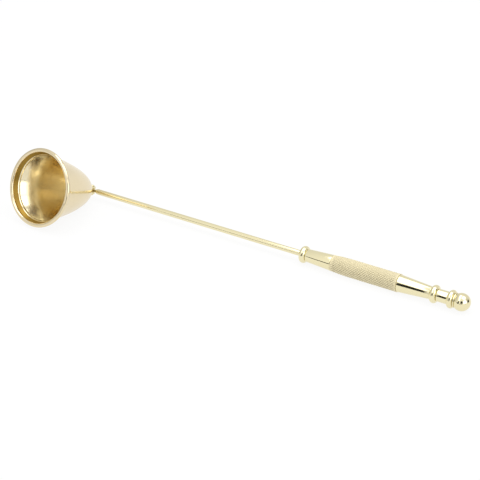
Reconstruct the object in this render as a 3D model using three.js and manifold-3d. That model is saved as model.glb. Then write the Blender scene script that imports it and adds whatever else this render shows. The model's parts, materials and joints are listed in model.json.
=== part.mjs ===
// Candle snuffer: a flared bell on a riveted pivot, a slim stem and a turned handle with a knurled grip.
// Millimetres, +Z up. It lies on a table at z = 0 with its stem level along +X, the ball end at +X.
// The bell leans on its side with its mouth towards -Y, turned about the pivot near the stem's end.

import * as THREE from 'three';
import { mergeVertices } from 'three/addons/utils/BufferGeometryUtils.js';
import Module from 'manifold-3d';

const wasm = await Module();
wasm.setup();

// Bell
const lipRadius = 21.0;
const lipBeadRadius = 1.1;
const rimFlatWidth = 0.6;
const creaseRadius = 17.8;
const creaseHeight = 5.5;
const innerStepInset = 0.35;
const innerStepSetback = 1.7;
const bellHeight = 37.5;
const bellWall = 0.9;
const apexSeatRadius = 3.0;

// Pivot: the clevis screwed to the bell, its pin and the stem's flat eye
const pinRadius = 0.8;
const pinHeadRadius = 1.45;
const pinHeadHeight = 0.55;
const pinTail = 0.25;
const burrRadius = 1.35;
const burrThickness = 0.4;
const eyeWall = 1.1;
const eyeThickness = 1.5;
const eyeSideClearance = 0.12;
const eyeEndClearance = 0.9;
const earWall = 1.2;
const earThickness = 1.2;
const clevisBaseRadius = 3.0;
const clevisBaseThickness = 1.1;

// Fastening at the bell's apex
const studRadius = 1.2;
const apexWasherRadius = 2.9;
const apexWasherThickness = 0.5;
const innerWasherRadius = 2.7;
const innerWasherThickness = 0.5;
const nutRadius = 2.5;
const nutHeight = 2.0;
const nutDomeHeight = 1.5;

// Stem
const stemRadius = 1.5;
const stemNoseRadius = 0.9;
const stemNoseLength = 1.5;
const stemNoseClearance = 0.9;
const tongueWidth = 2.5;

// Handle: from the pivot to its first collar, then each piece's length along the stem
const handleStart = 134.2;
const collarLength = 3.3;
const collarEndRadius = 2.9;
const collarRadius = 4.4;
const frontFerruleLength = 14.6;
const frontFerruleRadius = 3.3;
const gripLength = 36.6;
const gripFrontRadius = 4.12;
const gripTaperLength = 10.0;
const gripRadius = 4.6;
const rearFerruleLength = 17.3;
const rearFerruleFrontRadius = 4.4;
const rearFerruleRearRadius = 3.15;
const rearBeadLength = 3.1;
const rearBeadRadius = 4.55;
const beadEndRadius = 3.3;
const neckLength = 5.6;
const neckRadius = 3.15;
const finialBeadLength = 2.9;
const finialBeadRadius = 4.6;
const finialRingLength = 0.8;
const finialRingRadius = 3.75;
const ballRadius = 4.44;
const ballFlatDepth = 1.81;

// Clearances
const boreClearance = 0.1;
const seatGap = 0.25;
const stackGap = 0.1;

// Angles: the bell's from straight in line with the stem, and how far the lip is rolled from its rim
const restBend = THREE.MathUtils.degToRad(85);
const lipRoll = THREE.MathUtils.degToRad(140);

// Facets
const bellSides = 48;
const handleSides = 32;
const smallSides = 24;
const nutSides = 6;
const domeSteps = 11;
const innerDomeSteps = 9;
const arcSteps = 8;

// A quarter of an ellipse as [x, r] points, from its tip on the axis at tipX to its full radius at baseX.
function quarterDome(tipX, baseX, fullRadius) {
  const points = [];
  for (let step = 0; step <= arcSteps; step += 1) {
    const angle = (Math.PI / 2) * (step / arcSteps);
    points.push([baseX + (tipX - baseX) * Math.cos(angle), fullRadius * Math.sin(angle)]);
  }
  return points;
}

// A half ellipse that swells from an end radius to a full radius and back over a length.
function bulge(length, endRadius, fullRadius) {
  const points = [];
  for (let step = 0; step <= arcSteps; step += 1) {
    const angle = Math.PI * (1 - step / arcSteps);
    const x = (length / 2) * (1 + Math.cos(angle));
    points.push([x, endRadius + (fullRadius - endRadius) * Math.sin(angle)]);
  }
  return points;
}

// The parabolic dome of a bell from its crease to its apex seat, as [x, r] points.
function bellDome(creaseX, creaseR, seatX, steps) {
  const points = [];
  for (let step = 0; step <= steps; step += 1) {
    const share = 1 - step / steps;
    const x = seatX - (seatX - creaseX) * share * share;
    points.push([x, apexSeatRadius + (creaseR - apexSeatRadius) * share]);
  }
  return points;
}

// One side of a bell's rolled lip as [x, r] points from its flat rim.
// Side 1 is the outside and side -1 is the inside.
function rolledLip(rimX, side) {
  const flatAngle = Math.asin(rimFlatWidth / 2 / lipBeadRadius);
  const middleX = rimX + lipBeadRadius * Math.cos(flatAngle);
  const points = [];
  for (let step = 0; step <= arcSteps; step += 1) {
    const angle = flatAngle + (lipRoll - flatAngle) * (step / arcSteps);
    const rise = lipBeadRadius * Math.sin(angle);
    points.push([middleX - lipBeadRadius * Math.cos(angle), lipRadius - lipBeadRadius + side * rise]);
  }
  return points;
}

// A round piece turned about the X axis from an outline of [x, r] points.
// The outline runs towards +X along the outside, and closes on itself or starts and ends on the axis.
function turned(outline, sides) {
  const points = outline.map(([x, r]) => new THREE.Vector2(r, x));
  return new THREE.LatheGeometry(points, sides).rotateZ(-Math.PI / 2);
}

// A turned ring with a straight bore: the outside outline runs from one end face to the other.
function turnedRing(outside, bore, sides) {
  const [startX] = outside[0];
  const [endX] = outside[outside.length - 1];
  return turned([[startX, bore], ...outside, [endX, bore], [startX, bore]], sides);
}

// A flat plate in the XY plane, centred on a height along Z.
function plate(shape, thickness, middle) {
  const settings = { depth: thickness, bevelEnabled: false, curveSegments: smallSides };
  return new THREE.ExtrudeGeometry(shape, settings).translate(0, 0, middle - thickness / 2);
}

// A geometry as a closed solid that can be joined and cut.
function solid(geometry) {
  const bare = geometry.clone();
  bare.deleteAttribute('normal');
  bare.deleteAttribute('uv');
  const merged = mergeVertices(bare);
  const corners = new Float32Array(merged.attributes.position.array);
  const faces = merged.index.array;
  const kept = [];
  for (let face = 0; face < faces.length; face += 3) {
    const [a, b, c] = faces.slice(face, face + 3);
    if (a !== b && b !== c && c !== a) kept.push(a, b, c);
  }
  const triVerts = new Uint32Array(kept);
  return new wasm.Manifold(new wasm.Mesh({ numProp: 3, vertProperties: corners, triVerts }));
}

// A joined or cut solid back as a geometry.
function geometryOf(body) {
  const mesh = body.getMesh();
  const geometry = new THREE.BufferGeometry();
  geometry.setAttribute('position', new THREE.BufferAttribute(new Float32Array(mesh.vertProperties), 3));
  geometry.setIndex(new THREE.BufferAttribute(new Uint32Array(mesh.triVerts), 1));
  geometry.computeVertexNormals();
  return geometry;
}

// Polished or satin brass with its own tint.
function brass(color, roughness) {
  return new THREE.MeshStandardMaterial({ color, metalness: 1, roughness });
}

// A named piece in a group, at a place along X.
function addPiece(group, name, geometry, material, x = 0) {
  const piece = new THREE.Mesh(geometry, material);
  piece.name = name;
  piece.position.x = x;
  group.add(piece);
  return piece;
}

// Places along the bell's axis, with the pivot at x = 0 and the mouth towards -X
const pinHoleRadius = pinRadius + boreClearance;
const eyeRadius = pinHoleRadius + eyeWall;
const earRadius = pinHoleRadius + earWall;
const clevisFaceX = -eyeRadius - eyeEndClearance;
const clevisBaseX = clevisFaceX - clevisBaseThickness;
const apexWasherX = clevisBaseX - seatGap - apexWasherThickness;
const apexX = apexWasherX - seatGap;
const mouthX = apexX - bellHeight;
const lipCreaseX = mouthX + creaseHeight;
const innerStepX = lipCreaseX - innerStepSetback;
const innerStepRadius = creaseRadius - innerStepInset;
const innerApexX = apexX - bellWall;
const innerWasherX = innerApexX - seatGap - innerWasherThickness;
const nutX = innerWasherX - seatGap;
const studEndX = nutX - nutHeight;
const studHoleRadius = studRadius + boreClearance;

// Bell: rolled lip with a flat rim, flare, crease and parabolic dome, and inside a step behind the lip
const bellOuter = [...rolledLip(mouthX, 1), ...bellDome(lipCreaseX, creaseRadius, apexX, domeSteps)];
const bellInner = [
  ...rolledLip(mouthX, -1),
  ...bellDome(innerStepX, innerStepRadius, innerApexX, innerDomeSteps),
];
const bellGeometry = turned([
  ...bellOuter,
  [apexX, studHoleRadius],
  [innerApexX, studHoleRadius],
  ...bellInner.reverse(),
  bellOuter[0],
], bellSides);

// Clevis: base disc and stud in one turning, with two ears over the pivot
const slotHalf = eyeThickness / 2 + eyeSideClearance;
const earMiddle = slotHalf + earThickness / 2;
const stackHalf = slotHalf + earThickness;
const earFootX = clevisFaceX - clevisBaseThickness / 2;
const earShape = new THREE.Shape();
earShape.moveTo(earFootX, -earRadius);
earShape.lineTo(0, -earRadius);
earShape.absarc(0, 0, earRadius, -Math.PI / 2, Math.PI / 2, false);
earShape.lineTo(earFootX, earRadius);
earShape.closePath();
earShape.holes.push(new THREE.Path().absarc(0, 0, pinHoleRadius, 0, 2 * Math.PI, true));
const clevisTurning = turned([
  [studEndX, 0],
  [studEndX, studRadius],
  [clevisBaseX, studRadius],
  [clevisBaseX, clevisBaseRadius],
  [clevisFaceX, clevisBaseRadius],
  [clevisFaceX, 0],
], smallSides);
const clevisGeometry = geometryOf(
  solid(clevisTurning)
    .add(solid(plate(earShape, earThickness, earMiddle)))
    .add(solid(plate(earShape, earThickness, -earMiddle))),
);

// Washers on both sides of the bell's apex
const apexWasherGeometry = turnedRing(
  [[0, apexWasherRadius], [apexWasherThickness, apexWasherRadius]], studHoleRadius, smallSides,
);
const innerWasherGeometry = turnedRing(
  [[0, innerWasherRadius], [innerWasherThickness, innerWasherRadius]], studHoleRadius, smallSides,
);

// Cap nut inside the bell: a hexagon on the stud with a domed end, and a blind bore
const nutFlatRadius = nutRadius * Math.cos(Math.PI / nutSides);
const nutHexagon = new THREE.CylinderGeometry(nutRadius, nutRadius, nutHeight, nutSides)
  .rotateZ(-Math.PI / 2)
  .translate(-nutHeight / 2, 0, 0);
const nutDome = turned([
  ...quarterDome(-nutHeight - nutDomeHeight, -nutHeight, nutFlatRadius),
  [-nutHeight / 2, nutFlatRadius],
  [-nutHeight / 2, 0],
], smallSides);
const nutBore = turned([
  [-nutHeight - seatGap, 0],
  [-nutHeight - seatGap, studHoleRadius],
  [seatGap, studHoleRadius],
  [seatGap, 0],
], smallSides);
const nutGeometry = geometryOf(solid(nutHexagon).add(solid(nutDome)).subtract(solid(nutBore)));

// Hinge pin with a domed head above the upper ear, and the burr that its tail is riveted over
const pinHeadX = stackHalf + seatGap;
const burrX = -stackHalf - seatGap - burrThickness;
const pinTailX = burrX - pinTail;
const pinGeometry = turned([
  [pinTailX, 0],
  [pinTailX, pinRadius],
  [pinHeadX, pinRadius],
  ...quarterDome(pinHeadX + pinHeadHeight, pinHeadX, pinHeadRadius).reverse(),
], smallSides);
const burrGeometry = turnedRing(
  [[burrX, burrRadius], [burrX + burrThickness, burrRadius]], pinHoleRadius, smallSides,
);

// Places along the handle, with the pivot at x = 0
const frontFerruleX = handleStart + collarLength + stackGap;
const gripX = frontFerruleX + frontFerruleLength + stackGap;
const rearFerruleX = gripX + gripLength + stackGap;
const rearBeadX = rearFerruleX + rearFerruleLength + stackGap;
const neckX = rearBeadX + rearBeadLength + stackGap;
const finialBeadX = neckX + neckLength + stackGap;
const finialRingX = finialBeadX + finialBeadLength + stackGap;
const ballX = finialRingX + finialRingLength + stackGap;
const ballMiddle = ballRadius - ballFlatDepth;
const sleeveBore = stemRadius + boreClearance;

// Stem: a rod with a flat eye at the pivot, running through the handle to the middle of the ball
const stemNoseX = earRadius + stemNoseClearance;
const stemFullX = stemNoseX + stemNoseLength;
const stemEndX = ballX + ballMiddle;
const tongueAngle = Math.asin(tongueWidth / 2 / eyeRadius);
const tongueShape = new THREE.Shape();
tongueShape.moveTo(stemFullX, -tongueWidth / 2);
tongueShape.lineTo(stemFullX, tongueWidth / 2);
tongueShape.absarc(0, 0, eyeRadius, tongueAngle, 2 * Math.PI - tongueAngle, false);
tongueShape.closePath();
tongueShape.holes.push(new THREE.Path().absarc(0, 0, pinHoleRadius, 0, 2 * Math.PI, true));
const stemRod = turned([
  [stemNoseX, 0],
  [stemNoseX, stemNoseRadius],
  [stemFullX, stemRadius],
  [stemEndX, stemRadius],
  [stemEndX, 0],
], smallSides);
const stemGeometry = geometryOf(solid(stemRod).add(solid(plate(tongueShape, eyeThickness, 0))));

// Handle pieces, threaded on the stem one after another
const collarGeometry = turnedRing(
  bulge(collarLength, collarEndRadius, collarRadius), sleeveBore, handleSides,
);
const frontFerruleGeometry = turnedRing(
  [[0, frontFerruleRadius], [frontFerruleLength, gripFrontRadius]], sleeveBore, handleSides,
);
const gripOutside = [];
for (let step = 0; step <= arcSteps; step += 1) {
  const share = step / arcSteps;
  const swell = (gripRadius - gripFrontRadius) * share * (2 - share);
  gripOutside.push([gripTaperLength * share, gripFrontRadius + swell]);
}
gripOutside.push([gripLength, gripRadius]);
const gripGeometry = turnedRing(gripOutside, sleeveBore, handleSides);
const rearFerruleGeometry = turnedRing(
  [[0, rearFerruleFrontRadius], [rearFerruleLength, rearFerruleRearRadius]], sleeveBore, handleSides,
);
const rearBeadGeometry = turnedRing(
  bulge(rearBeadLength, beadEndRadius, rearBeadRadius), sleeveBore, handleSides,
);
const neckGeometry = turnedRing([[0, neckRadius], [neckLength, neckRadius]], sleeveBore, handleSides);
const finialBeadGeometry = turnedRing(
  bulge(finialBeadLength, beadEndRadius, finialBeadRadius), sleeveBore, handleSides,
);
const finialRingGeometry = turnedRing(
  [[0, finialRingRadius], [finialRingLength, finialRingRadius]], sleeveBore, handleSides,
);

// Ball finial: a ball cut flat where it seats, with a blind hole for the stem's end
const ballSeatAngle = Math.acos(-ballMiddle / ballRadius);
const ballHoleX = ballMiddle + seatGap;
const ballOutline = [[ballHoleX, 0], [ballHoleX, sleeveBore], [0, sleeveBore]];
for (let step = 0; step <= 2 * arcSteps; step += 1) {
  const angle = ballSeatAngle * (1 - step / (2 * arcSteps));
  ballOutline.push([ballMiddle + ballRadius * Math.cos(angle), ballRadius * Math.sin(angle)]);
}
const ballGeometry = turned(ballOutline, handleSides);

// Scene graph: the pivot group is rolled about the stem, and the bell group turns about its pin
const snuffer = new THREE.Group();
const handle = new THREE.Group();
const pivot = new THREE.Group();
const bellGroup = new THREE.Group();
snuffer.add(handle, pivot);
pivot.add(bellGroup);

addPiece(handle, 'front_collar', collarGeometry, brass(0xe6d09a, 0.14), handleStart);
addPiece(handle, 'front_ferrule', frontFerruleGeometry, brass(0xe5cf99, 0.14), frontFerruleX);
addPiece(handle, 'knurled_grip', gripGeometry, brass(0xdcc791, 0.28), gripX);
addPiece(handle, 'rear_ferrule', rearFerruleGeometry, brass(0xe5cf99, 0.14), rearFerruleX);
addPiece(handle, 'rear_bead', rearBeadGeometry, brass(0xe6d09a, 0.14), rearBeadX);
addPiece(handle, 'finial_neck', neckGeometry, brass(0xe4ce97, 0.15), neckX);
addPiece(handle, 'finial_bead', finialBeadGeometry, brass(0xe6d09a, 0.14), finialBeadX);
addPiece(handle, 'finial_ring', finialRingGeometry, brass(0xe0c98f, 0.16), finialRingX);
addPiece(handle, 'ball_finial', ballGeometry, brass(0xe7d29e, 0.12), ballX);

addPiece(pivot, 'stem', stemGeometry, brass(0xe4cd96, 0.16));

addPiece(bellGroup, 'bell', bellGeometry, brass(0xe3c98c, 0.14));
addPiece(bellGroup, 'apex_washer', apexWasherGeometry, brass(0xd9bf85, 0.22), apexWasherX);
addPiece(bellGroup, 'clevis', clevisGeometry, brass(0xe0c78c, 0.2));
addPiece(bellGroup, 'inner_washer', innerWasherGeometry, brass(0xd6bb80, 0.25), innerWasherX);
addPiece(bellGroup, 'cap_nut', nutGeometry, brass(0xd9be82, 0.22), nutX);
addPiece(bellGroup, 'hinge_pin', pinGeometry, brass(0xe2ca92, 0.18)).rotation.y = -Math.PI / 2;
addPiece(bellGroup, 'pin_burr', burrGeometry, brass(0xd8bd82, 0.24)).rotation.y = -Math.PI / 2;

// The lean at which the bell's side touches the table while the handle lies level on its widest rings
const handleRadius = new THREE.Box3().setFromObject(handle, true).max.z;
const leanSteps = 50;
let leanLow = 0;
let leanHigh = Math.PI / 3;
for (let step = 0; step < leanSteps; step += 1) {
  const lean = (leanLow + leanHigh) / 2;
  const depths = bellOuter.map(([x, r]) => r * Math.cos(lean) + x * Math.sin(lean));
  if (Math.max(...depths) > handleRadius) leanLow = lean;
  else leanHigh = lean;
}
pivot.rotation.x = -Math.asin(Math.sin(leanLow) / Math.sin(restBend));
bellGroup.rotation.z = restBend;

// Origin: the middle of the bottom of the whole snuffer's box
snuffer.updateMatrixWorld(true);
const box = new THREE.Box3().setFromObject(snuffer, true);
const middle = box.getCenter(new THREE.Vector3());
snuffer.position.set(-middle.x, -middle.y, -box.min.z);

export default snuffer;
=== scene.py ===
"""Candle snuffer in polished pale brass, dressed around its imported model.

A flared bell hangs on a riveted pivot at the end of a slim stem, and a turned handle with a knurled
grip, beads and a ball end is threaded on the stem. The snuffer's sizes are written in millimetres and
the studio's in metres, and meshes are made in metres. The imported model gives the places: the hinge,
the bell's mouth direction, and where each handle piece starts and ends.
"""

import json
import logging
import math
from collections.abc import Callable, Sequence
from dataclasses import dataclass, field
from enum import Enum, IntEnum
from functools import partial

import bmesh
import bpy
from mathutils import Matrix, Vector

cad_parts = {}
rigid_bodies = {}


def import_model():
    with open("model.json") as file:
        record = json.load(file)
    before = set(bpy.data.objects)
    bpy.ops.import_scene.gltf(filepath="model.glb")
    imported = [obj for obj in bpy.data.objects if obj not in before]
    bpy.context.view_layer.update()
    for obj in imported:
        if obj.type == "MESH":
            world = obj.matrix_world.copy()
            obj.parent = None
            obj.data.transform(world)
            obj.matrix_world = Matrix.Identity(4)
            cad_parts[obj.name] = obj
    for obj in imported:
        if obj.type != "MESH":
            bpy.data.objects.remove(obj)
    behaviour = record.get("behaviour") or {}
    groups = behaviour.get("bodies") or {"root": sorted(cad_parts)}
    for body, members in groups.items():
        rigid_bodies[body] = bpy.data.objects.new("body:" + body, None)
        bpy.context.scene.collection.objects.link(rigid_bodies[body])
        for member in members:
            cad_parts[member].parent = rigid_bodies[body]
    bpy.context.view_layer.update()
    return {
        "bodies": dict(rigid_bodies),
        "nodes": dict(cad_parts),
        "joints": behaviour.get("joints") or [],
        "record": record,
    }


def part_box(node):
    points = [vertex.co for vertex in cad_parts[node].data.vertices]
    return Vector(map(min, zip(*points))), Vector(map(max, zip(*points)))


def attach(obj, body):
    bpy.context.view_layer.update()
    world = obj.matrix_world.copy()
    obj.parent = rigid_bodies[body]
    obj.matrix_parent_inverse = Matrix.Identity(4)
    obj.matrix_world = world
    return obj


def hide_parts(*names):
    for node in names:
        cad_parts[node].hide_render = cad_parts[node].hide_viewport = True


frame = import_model()

LOG = logging.getLogger("snuffer")
MM = 0.001
CREASE_ANGLE = 34.0
GLOSSY_BOUNCES = 10
WHITE = (1.0, 1.0, 1.0, 1.0)

Colour = tuple[float, float, float]
Point = tuple[float, float, float]
Corner = tuple[float, float, float]
Outline = list[tuple[float, float]]


class Body(Enum):
    """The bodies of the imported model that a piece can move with."""

    HANDLE = "handle"
    BELL = "bell"


class Slot(Enum):
    """The record's material slots."""

    BELL = "bell_brass"
    HANDLE = "handle_brass"
    GRIP = "grip_brass"
    FASTENER = "fastener_brass"


class BellZone(IntEnum):
    """The parts of the bell that have a finish of their own, as material numbers."""

    OUTSIDE = 0
    INSIDE = 1
    THROAT = 2
    BAND = 3
    RECESS = 4
    LIP = 5


class NodeGraph:
    """A material's or world's node tree, with short ways to add and link nodes."""

    TEXTURE_LOW = 0.3
    TEXTURE_HIGH = 0.7

    def __init__(self, tree: bpy.types.NodeTree) -> None:
        """Keeps the tree that the nodes go in."""
        self.tree = tree

    @classmethod
    def blank(cls, owner: bpy.types.ID) -> "NodeGraph":
        """Gives a material or a world an empty node tree.

        Args:
            owner: The material or world.

        Returns:
            The empty tree's graph.
        """
        owner.use_nodes = True
        owner.node_tree.nodes.clear()
        return cls(owner.node_tree)

    def add(self, kind: str, inputs: dict[str, object] | None = None,
            **settings: object) -> bpy.types.Node:
        """Adds a node.

        Args:
            kind: The node's type name without the ShaderNode at its start.
            inputs: Values for its sockets, or sockets to link them to.
            settings: The node's own settings.

        Returns:
            The new node.
        """
        node = self.tree.nodes.new(f"ShaderNode{kind}")
        for name, value in settings.items():
            setattr(node, name, value)
        for name, value in (inputs or {}).items():
            self.feed(node, name, value)
        return node

    def feed(self, node: bpy.types.Node, name: str | int, value: object) -> None:
        """Sets a node's socket to a value, or links it to another node's socket.

        Args:
            node: The node that takes the value.
            name: Its socket's name or number.
            value: The value, or the socket that gives it.
        """
        if isinstance(value, bpy.types.NodeSocket):
            self.tree.links.new(value, node.inputs[name])
        else:
            node.inputs[name].default_value = value

    def math(self, operation: str, first: object, second: object = 0.0) -> bpy.types.NodeSocket:
        """Works out a sum of two numbers or sockets.

        Args:
            operation: The kind of sum.
            first: Its first number or socket.
            second: Its second number or socket, where it takes one.

        Returns:
            The result.
        """
        node = self.add("Math", operation=operation)
        self.feed(node, 0, first)
        self.feed(node, 1, second)
        return node.outputs[0]

    def remap(self, value: object, source: tuple[float, float],
              target: tuple[float, float]) -> bpy.types.NodeSocket:
        """Stretches one range of a value over another.

        Args:
            value: The socket that gives the value.
            source: The range's ends before.
            target: The range's ends after.

        Returns:
            The stretched value.
        """
        node = self.add("MapRange", {
            "Value": value,
            "From Min": source[0],
            "From Max": source[1],
            "To Min": target[0],
            "To Max": target[1],
        })
        return node.outputs["Result"]

    def spread(self, value: object, low: float, high: float) -> bpy.types.NodeSocket:
        """Stretches a texture's middle range over low to high and returns the result."""
        return self.remap(value, (self.TEXTURE_LOW, self.TEXTURE_HIGH), (low, high))


@dataclass(frozen=True)
class BrassFinish:
    """A brass surface: its tint, its thin tarnish, its gloss and the marks of the tool that made it.

    Attributes:
        name: The material's name.
        tint: The clean metal's colour, linear.
        stain: The colour that the thin tarnish takes it to, linear, and that painted shade takes the
            grooves to.
        stain_share: How far the cloudy tarnish goes towards the stain.
        roughness: The clean metal's roughness, 0 being a mirror.
        haze: How much rougher the hazy patches are.
        mark_pitch: Millimetres from one tool mark to the next.
        mark_height: Millimetres that the tool marks stand up.
        heat_reach: Millimetres from the pivot over which the flame's heat has tinted the metal, 0 for
            none.
        paints_groove_shade: Whether the surface's grooves are painted darker as shade, from a vertex
            attribute, as a knurl's are.
    """

    name: str
    tint: Colour
    stain: Colour
    stain_share: float
    roughness: float
    haze: float
    mark_pitch: float
    mark_height: float
    heat_reach: float = 0.0
    paints_groove_shade: bool = False

    HEAT_SHARE = 0.55
    CLOUD_SIZE = 14.0
    HAZE_SIZE = 3.5
    SPECK_SIZE = 0.6
    SPECK_SHARE = 0.5
    NOISE_DETAIL = 4.0
    NOISE_ROUGHNESS = 0.6
    # The wave texture's scale at which its bands are one metre apart.
    MARK_SCALE = 0.1 * math.pi
    MARK_WANDER = 1.5
    MARK_DETAIL = 2.0
    MARK_STRENGTH = 0.5
    GROOVE_PAINTED_SHADE_ATTRIBUTE = "groove"
    ALONG_ATTRIBUTE = "along"

    def material(self) -> bpy.types.Material:
        """Makes the finish's material, or finds it where it is made already.

        Returns:
            The material.
        """
        found = bpy.data.materials.get(self.name)
        if found:
            return found
        material = bpy.data.materials.new(self.name)
        material.use_nodes = True
        graph = NodeGraph(material.node_tree)
        shader = material.node_tree.nodes["Principled BSDF"]
        shader.inputs["Metallic"].default_value = 1.0
        place = graph.add("TexCoord").outputs["Object"]
        graph.feed(shader, "Base Color", self._colour(graph, place))
        graph.feed(shader, "Roughness", self._gloss(graph, place))
        graph.feed(shader, "Normal", self._relief(graph))
        return material

    def _noise(self, graph: NodeGraph, place: bpy.types.NodeSocket,
               size: float) -> bpy.types.NodeSocket:
        """Makes cloudy noise.

        Args:
            graph: The material's nodes.
            place: Where on the piece the surface is.
            size: How far the patches are across, about, in millimetres.

        Returns:
            The noise's value.
        """
        noise = graph.add("TexNoise", {
            "Vector": place,
            "Scale": 1 / (size * MM),
            "Detail": self.NOISE_DETAIL,
            "Roughness": self.NOISE_ROUGHNESS,
        })
        return noise.outputs["Fac"]

    def _read(self, graph: NodeGraph, attribute: str) -> bpy.types.NodeSocket:
        """Reads a number that each corner of the mesh carries."""
        return graph.add("Attribute", attribute_name=attribute).outputs["Fac"]

    def _colour(self, graph: NodeGraph, place: bpy.types.NodeSocket) -> bpy.types.NodeSocket:
        """Makes the metal's colour: the tint, clouded by tarnish, with painted shade in grooves.

        Args:
            graph: The material's nodes.
            place: Where on the piece the surface is.

        Returns:
            The colour.
        """
        speck_share = self.SPECK_SHARE * self.stain_share
        cloud = graph.spread(self._noise(graph, place, self.CLOUD_SIZE), 0.0, self.stain_share)
        speck = graph.spread(self._noise(graph, place, self.SPECK_SIZE), 0.0, speck_share)
        share = graph.math("ADD", cloud, speck)
        # Painted shade: deep in the grooves the colour goes darker, towards the stain.
        if self.paints_groove_shade:
            share = graph.math("ADD", share, self._read(graph, self.GROOVE_PAINTED_SHADE_ATTRIBUTE))
        if self.heat_reach:
            along = self._read(graph, self.ALONG_ATTRIBUTE)
            heat = graph.remap(along, (0.0, self.heat_reach * MM), (self.HEAT_SHARE, 0.0))
            share = graph.math("ADD", share, heat)
        mix = graph.add("Mix", data_type="RGBA", clamp_factor=True)
        graph.feed(mix, "Factor", share)
        graph.feed(mix, "A", (*self.tint, 1.0))
        graph.feed(mix, "B", (*self.stain, 1.0))
        return mix.outputs["Result"]

    def _gloss(self, graph: NodeGraph, place: bpy.types.NodeSocket) -> bpy.types.NodeSocket:
        """Makes the roughness, duller in hazy patches, and returns it."""
        patches = self._noise(graph, place, self.HAZE_SIZE)
        return graph.spread(patches, self.roughness, self.roughness + self.haze)

    def _relief(self, graph: NodeGraph) -> bpy.types.NodeSocket:
        """Makes the tool marks, as rings round the piece's axis.

        Args:
            graph: The material's nodes.

        Returns:
            The surface's direction.
        """
        along = self._read(graph, self.ALONG_ATTRIBUTE)
        inputs = {
            "Vector": graph.add("CombineXYZ", {"X": along}).outputs["Vector"],
            "Scale": self.MARK_SCALE / (self.mark_pitch * MM),
            "Distortion": self.MARK_WANDER,
            "Detail": self.MARK_DETAIL,
        }
        rings = graph.add("TexWave", inputs, wave_type="BANDS", bands_direction="X").outputs["Fac"]
        bump = graph.add("Bump", {
            "Height": rings,
            "Strength": self.MARK_STRENGTH,
            "Distance": self.mark_height * MM,
        })
        return bump.outputs["Normal"]


PALE_BRASS: Colour = (0.86, 0.79, 0.515)
BELL_BRASS: Colour = (0.8, 0.69, 0.475)
BAND_BRASS: Colour = (0.84, 0.755, 0.53)
THROAT_BRASS: Colour = (0.85, 0.745, 0.49)
KNURL_BRASS: Colour = (0.88, 0.81, 0.595)
# Painted shade for the knurl's grooves; the knurl's light tarnish clouds also go to this colour.
KNURL_TARNISH_AND_PAINTED_SHADE: Colour = (0.2, 0.17, 0.07)
GOLD_BRASS: Colour = (0.865, 0.74, 0.455)
# Painted shade: a dark gold for the recess inside the lip, far darker than the brass itself.
RECESS_PAINTED_SHADE: Colour = (0.29, 0.17, 0.02)
BROWN_TARNISH: Colour = (0.5, 0.36, 0.16)
HONEY_TARNISH: Colour = (0.7, 0.56, 0.28)

BELL_FINISHES = {
    BellZone.OUTSIDE: BrassFinish(
        "bell_polished_brass", BELL_BRASS, HONEY_TARNISH, stain_share=0.12, roughness=0.16, haze=0.06,
        mark_pitch=1.6, mark_height=0.0006,
    ),
    BellZone.INSIDE: BrassFinish(
        "bell_inside_warm_brass", GOLD_BRASS, BROWN_TARNISH, stain_share=0.1, roughness=0.2, haze=0.06,
        mark_pitch=0.45, mark_height=0.04,
    ),
    BellZone.THROAT: BrassFinish(
        "bell_throat_turned_brass", THROAT_BRASS, HONEY_TARNISH, stain_share=0.12, roughness=0.2,
        haze=0.05, mark_pitch=0.4, mark_height=0.0002,
    ),
    BellZone.BAND: BrassFinish(
        "bell_mouth_turned_brass", BAND_BRASS, HONEY_TARNISH, stain_share=0.12, roughness=0.15,
        haze=0.05, mark_pitch=0.4, mark_height=0.0002,
    ),
    # The recess's dark tint is painted shade; its cloudy brown tarnish is real.
    BellZone.RECESS: BrassFinish(
        "bell_recess_dull_painted_shade_brass", RECESS_PAINTED_SHADE, BROWN_TARNISH, stain_share=0.15, roughness=0.3, haze=0.1,
        mark_pitch=0.8, mark_height=0.0006,
    ),
    BellZone.LIP: BrassFinish(
        "bell_lip_bright_brass", BELL_BRASS, HONEY_TARNISH, stain_share=0.12, roughness=0.05,
        haze=0.03, mark_pitch=0.4, mark_height=0.0002,
    ),
}
HANDLE_POLISH = BrassFinish(
    "handle_polished_brass", PALE_BRASS, HONEY_TARNISH, stain_share=0.1, roughness=0.07, haze=0.04,
    mark_pitch=0.3, mark_height=0.0002,
)
STEM_POLISH = BrassFinish(
    "stem_drawn_brass", PALE_BRASS, HONEY_TARNISH, stain_share=0.14, roughness=0.1, haze=0.05,
    mark_pitch=0.4, mark_height=0.0002, heat_reach=30.0,
)
GRIP_KNURL = BrassFinish(
    "grip_knurled_brass", KNURL_BRASS, KNURL_TARNISH_AND_PAINTED_SHADE, stain_share=0.04, roughness=0.74, haze=0.06,
    mark_pitch=0.3, mark_height=0.0002, paints_groove_shade=True,
)
FASTENER_TURNED = BrassFinish(
    "fastener_turned_brass", PALE_BRASS, HONEY_TARNISH, stain_share=0.2, roughness=0.3, haze=0.08,
    mark_pitch=0.25, mark_height=0.0004,
)


def rounded(corners: Sequence[Corner], steps: int) -> Outline:
    """Rounds the corners of an open outline.

    Args:
        corners: Points as (along, radius, reach), where reach is how far from the corner its rounding
            starts.
        steps: Segments in each rounding.

    Returns:
        The outline's points, from the first corner to the last.
    """
    outline: Outline = []
    for index, (along, radius, reach) in enumerate(corners):
        if reach == 0 or index in (0, len(corners) - 1):
            outline.append((along, radius))
            continue
        here = Vector((along, radius))
        before = Vector(corners[index - 1][:2]) - here
        after = Vector(corners[index + 1][:2]) - here
        start = here + before.normalized() * min(reach, before.length / 2)
        end = here + after.normalized() * min(reach, after.length / 2)
        for step in range(steps + 1):
            share = step / steps
            point = start.lerp(here, share).lerp(here.lerp(end, share), share)
            outline.append((point.x, point.y))
    return outline


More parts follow.
